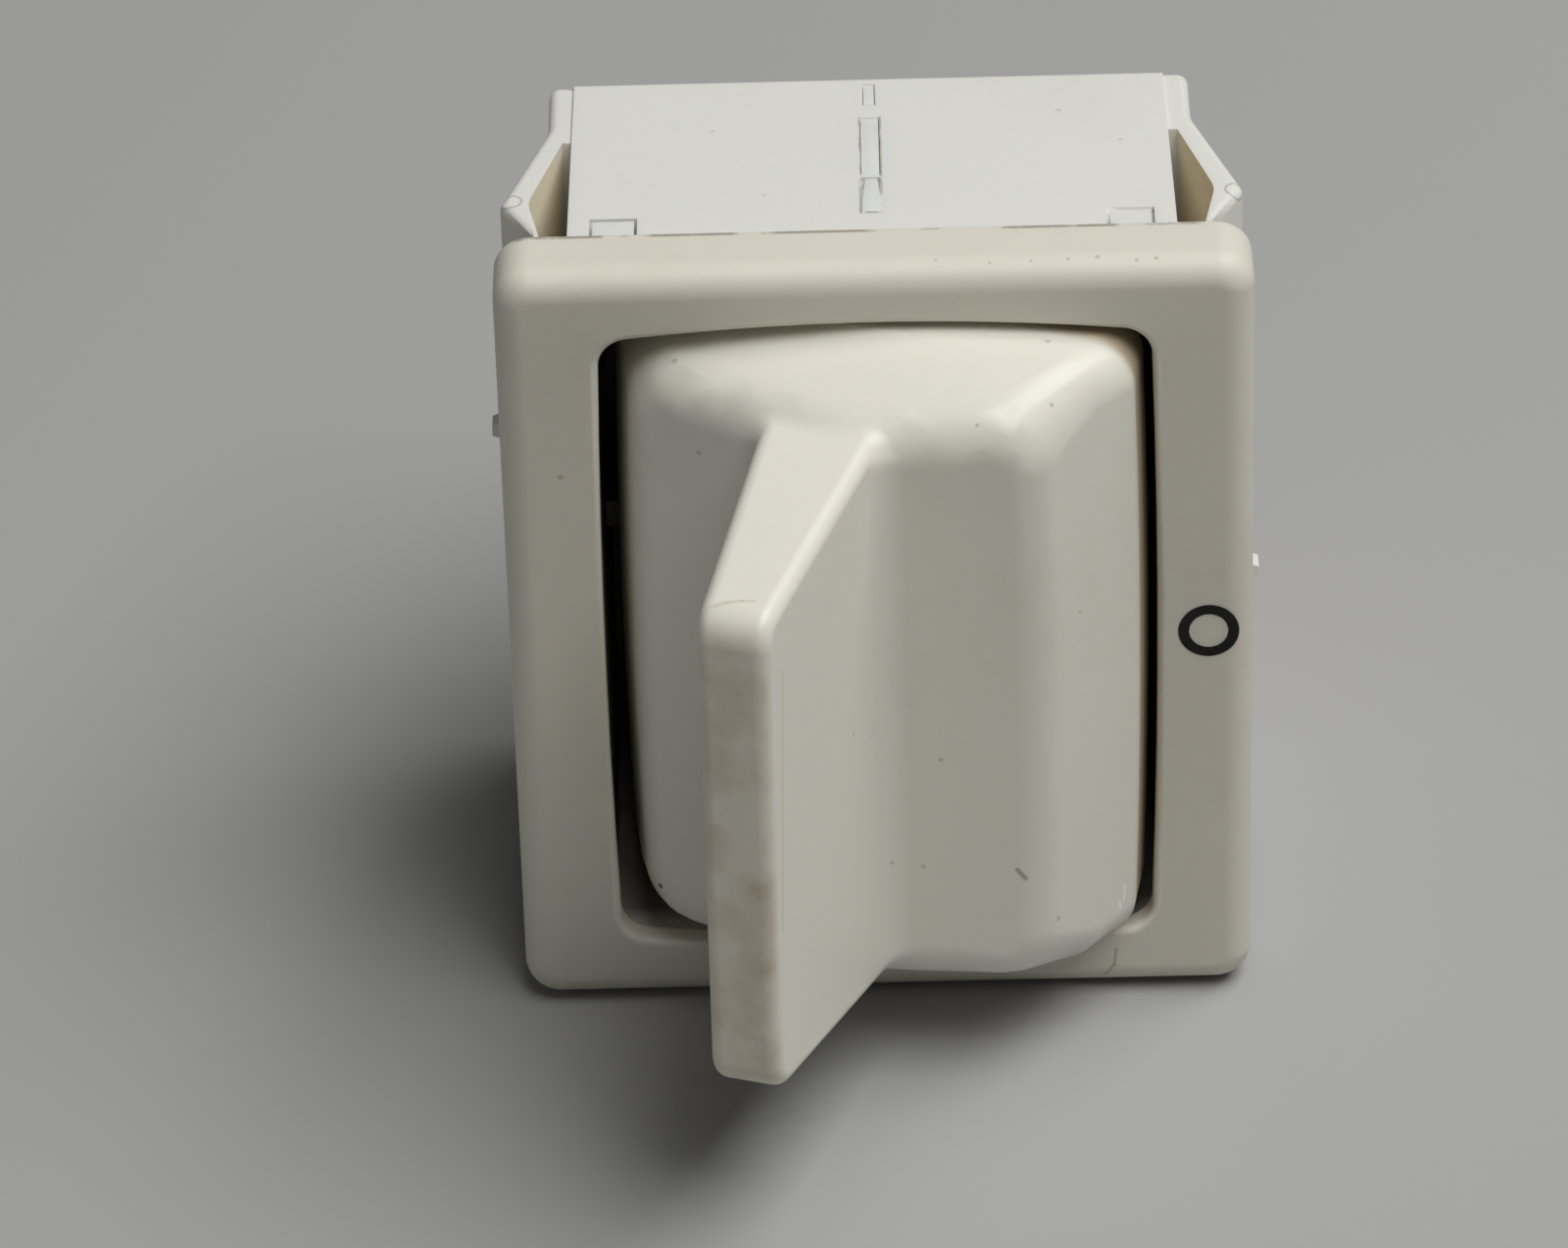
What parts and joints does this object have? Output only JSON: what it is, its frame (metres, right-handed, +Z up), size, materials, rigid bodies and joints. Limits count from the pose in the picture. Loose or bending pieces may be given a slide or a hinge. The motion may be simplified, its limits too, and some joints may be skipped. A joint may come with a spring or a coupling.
{
  "type": "panel rocker switch",
  "caption": "Snap-in panel rocker switch with a tall finger fin on its rocker, flanged bezel frame, snap wings and push-on terminals.",
  "frame": {"origin": "middle of the panel cut-out, in the plane of the bezel frame's rear rim, which is the panel's outer face", "axes": "+Y goes back through the panel to the terminals, the rocker looks along -Y, +Z is up along the pivot line, +X is the side with the O mark; the rocker tilts from -X to +X"},
  "size_m": [0.0316, 0.042, 0.035],
  "materials": {
    "bezel_plastic": "warm off-white nylon, fine satin, slightly soiled",
    "housing_plastic": "white nylon, fine satin",
    "base_plastic": "off-white thermoset, matt",
    "rocker_plastic": "white, satin to slightly glossy, soiled along its edges",
    "plunger_plastic": "natural acetal, smooth",
    "spring_steel": "bright drawn wire",
    "arm_copper": "rolled copper strip, satin",
    "contact_silver": "silver alloy, satin",
    "terminal_brass": "stamped brass, satin"
  },
  "bodies": {
    "case": {"bezel_frame": "bezel_plastic", "housing": "housing_plastic", "terminal_base": "base_plastic", "common_terminal_upper": "terminal_brass", "load_terminal_upper": "terminal_brass", "fixed_contact_upper": "contact_silver", "common_terminal_lower": "terminal_brass", "load_terminal_lower": "terminal_brass", "fixed_contact_lower": "contact_silver"},
    "rocker": {"rocker": "rocker_plastic", "plunger_spring_upper": "spring_steel", "plunger_spring_lower": "spring_steel"},
    "plunger_upper": {"plunger_upper": "plunger_plastic"},
    "arm_upper": {"contact_arm_upper": "arm_copper", "moving_contact_upper": "contact_silver"},
    "plunger_lower": {"plunger_lower": "plunger_plastic"},
    "arm_lower": {"contact_arm_lower": "arm_copper", "moving_contact_lower": "contact_silver"}
  },
  "joints": [
    {"name": "rocker_tilt", "type": "hinge", "parent": "case", "child": "rocker", "pos_m": [0, -0.0004, 0], "axis": [0, 0, 1], "range_deg": [0, 36]},
    {"name": "plunger_upper_press", "type": "slide", "parent": "rocker", "child": "plunger_upper", "axis": [-0.309, -0.9511, 0], "range_m": [0, 0.0008], "stiffness_N_per_m": 300, "springref_m": -0.004, "deforming": ["plunger_spring_upper"]},
    {"name": "plunger_lower_press", "type": "slide", "parent": "rocker", "child": "plunger_lower", "axis": [-0.309, -0.9511, 0], "range_m": [0, 0.0008], "stiffness_N_per_m": 300, "springref_m": -0.004, "deforming": ["plunger_spring_lower"]},
    {"name": "arm_upper_rock", "type": "hinge", "parent": "case", "child": "arm_upper", "pos_m": [0, 0.01, 0.00785], "axis": [0, 0, 1], "range_deg": [-14.4, 0]},
    {"name": "arm_lower_rock", "type": "hinge", "parent": "case", "child": "arm_lower", "pos_m": [0, 0.01, -0.00785], "axis": [0, 0, 1], "range_deg": [-14.4, 0]}
  ],
  "couplings": [
    {"joint": "arm_upper_rock", "follows": "rocker_tilt", "ratio": -0.4},
    {"joint": "arm_lower_rock", "follows": "rocker_tilt", "ratio": -0.4}
  ]
}
